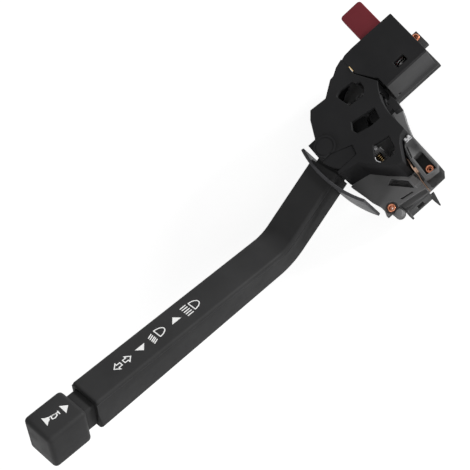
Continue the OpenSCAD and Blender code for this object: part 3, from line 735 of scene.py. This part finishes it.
def inkLine(bm, start, end):
    a, b = Vector((*start, 0)) * mm, Vector((*end, 0)) * mm
    turn = Matrix.Rotation(math.atan2(b.y - a.y, b.x - a.x), 4, "Z")
    size = Matrix.Diagonal(((b - a).length, inkSizes["line"] * mm, 1, 1))
    bmesh.ops.create_grid(bm, x_segments=1, y_segments=1, size=0.5,
                          matrix=Matrix.Translation((a + b) / 2) @ turn @ size)


def addInk(name, body, outlines, fills, lines, raised=0):
    bm = bmesh.new()
    for points in outlines:
        inkOutline(bm, points)
    for points in fills:
        inkFace(bm, points)
    for start, end in lines:
        inkLine(bm, start, end)
    out = bmesh.ops.extrude_face_region(bm, geom=list(bm.faces))["geom"]
    bmesh.ops.translate(bm, verts=vertsIn(out), vec=(0, 0, inkSizes["proud"] * mm))
    low = [v for v in bm.verts if abs(v.co.z) < sameSpot]
    bmesh.ops.translate(bm, verts=low, vec=(0, 0, -inkSizes["sunk"] * mm))
    print(name, "open edges:", looseEdges(bm))
    place = armMatrix() @ Matrix.Translation((0, 0, raised * mm))
    closePiece(name, bm, body, "inkWhite", matrix=place, sharp=30)


leverOutlines = [arrowLeft, arrowRight, lampShape(67.3, 63.0, -2.6, 1.9), lampShape(48.2, 44.0, -2.65, 2.05)]
addInk("leverSigns", "lever", leverOutlines, leverPointers, dippedLines + mainLines)
knobRise = knobSizes["height"] / 2 - leverSizes["tipThick"] / 2
addInk("hornSign", "horn", hornOutlines, hornPointers, hornLines, knobRise)
print("printed signs")


# the room: floor, lamps and camera; the floor's height and its reach to each side are in millimetres

roomSizes = {"floorZ": -9, "floorReach": 3000, "floorTone": 0.5, "floorRough": 0.9, "floorShine": 0.1,
             "floorGlow": 0.8, "skyLevel": 0.16}


# one where the camera sees the surface, also by way of a reflection or through clear matter
def seenRay(nodes, links):
    ray = nodes.new("ShaderNodeLightPath")
    level = ray.outputs["Is Camera Ray"]
    for kind in ("Is Glossy Ray", "Is Transmission Ray"):
        either = nodes.new("ShaderNodeMath")
        either.operation = "MAXIMUM"
        links.new(level, either.inputs[0])
        links.new(ray.outputs[kind], either.inputs[1])
        level = either.outputs["Value"]
    return level


def addFloor():
    bm = bmesh.new()
    bmesh.ops.create_grid(bm, x_segments=1, y_segments=1, size=roomSizes["floorReach"] * mm)
    mesh = bpy.data.meshes.new("studioFloor")
    bm.to_mesh(mesh)
    bm.free()
    mesh.transform(Matrix.Translation((0, 0, roomSizes["floorZ"] * mm)))
    floor = bpy.data.objects.new("studioFloor", mesh)
    bpy.context.collection.objects.link(floor)
    mat, nodes, links, shader = freshMaterial("floorWhite")
    shader.inputs["Base Color"].default_value = (*[roomSizes["floorTone"]] * 3, 1)
    shader.inputs["Roughness"].default_value = roomSizes["floorRough"]
    shader.inputs["Specular IOR Level"].default_value = roomSizes["floorShine"]
    glow = nodes.new("ShaderNodeEmission")
    mix = nodes.new("ShaderNodeAddShader")
    gate = nodes.new("ShaderNodeMath")
    gate.operation = "MULTIPLY"
    gate.inputs[1].default_value = roomSizes["floorGlow"]
    links.new(seenRay(nodes, links), gate.inputs[0])
    links.new(gate.outputs["Value"], glow.inputs["Strength"])
    out = [n for n in nodes if n.type == "OUTPUT_MATERIAL"][0]
    links.new(shader.outputs["BSDF"], mix.inputs[0])
    links.new(glow.outputs["Emission"], mix.inputs[1])
    links.new(mix.outputs["Shader"], out.inputs["Surface"])
    mesh.materials.append(mat)


def addLamp(name, spot, aim, size, power):
    data = bpy.data.lights.new(name, "AREA")
    data.shape = "DISK"
    data.size = size
    data.energy = power
    lamp = bpy.data.objects.new(name, data)
    bpy.context.collection.objects.link(lamp)
    lamp.location = spot
    lamp.rotation_euler = (aim - spot).to_track_quat("-Z", "Y").to_euler()


def addWorld():
    world = bpy.data.worlds.new("studio")
    bpy.context.scene.world = world
    world.use_nodes = True
    nodes, links = world.node_tree.nodes, world.node_tree.links
    nodes.clear()
    out = nodes.new("ShaderNodeOutputWorld")
    sky = nodes.new("ShaderNodeBackground")
    sky.inputs["Color"].default_value = (1, 1, 1, 1)
    level = nodes.new("ShaderNodeMapRange")
    level.inputs["To Min"].default_value = roomSizes["skyLevel"]
    level.inputs["To Max"].default_value = 1
    links.new(seenRay(nodes, links), level.inputs["Value"])
    links.new(level.outputs["Result"], sky.inputs["Strength"])
    links.new(sky.outputs["Background"], out.inputs["Surface"])


# focal length and frame width in the photograph's pixels, the sensor in millimetres and the spot in metres
cameraSizes = {
    "focal": 1200, "frameWidth": 470, "sensor": 36, "near": 0.01, "spot": (0.0082, -0.24857, 0.45914),
    "right": (0.7306, -0.535, -0.4242), "up": (0.6665, 0.6939, 0.2727), "back": (0.1485, -0.4819, 0.8635),
}


def addCamera():
    view = cameraSizes
    data = bpy.data.cameras.new("photoCamera")
    data.sensor_width = view["sensor"]
    data.lens = view["sensor"] * view["focal"] / view["frameWidth"]
    data.clip_start = view["near"]
    camera = bpy.data.objects.new("photoCamera", data)
    bpy.context.collection.objects.link(camera)
    turn = Matrix((view["right"], view["up"], view["back"])).transposed().to_4x4()
    camera.matrix_world = Matrix.Translation(view["spot"]) @ turn
    bpy.context.scene.camera = camera


# direction towards each lamp, its distance, its disk and its power
lampSizes = {
    "leftPanel": {"towards": (-0.93, -0.2, 0.3), "distance": 1.6, "disk": 0.6, "power": 10},
    "rightPanel": {"towards": (0.95, -0.22, 0.18), "distance": 2.0, "disk": 0.5, "power": 44},
    "frontPanel": {"towards": (0.05, -0.8, 0.6), "distance": 1.1, "disk": 0.7, "power": 2.6},
}
lampAim = Vector((-0.03, -0.01, 0.03))

addFloor()
addWorld()
for name, lamp in lampSizes.items():
    spot = lampAim + Vector(lamp["towards"]).normalized() * lamp["distance"]
    addLamp(name, spot, lampAim, lamp["disk"], lamp["power"])
addCamera()
bpy.context.scene.view_settings.view_transform = "Standard"
print("room, lamps and camera")
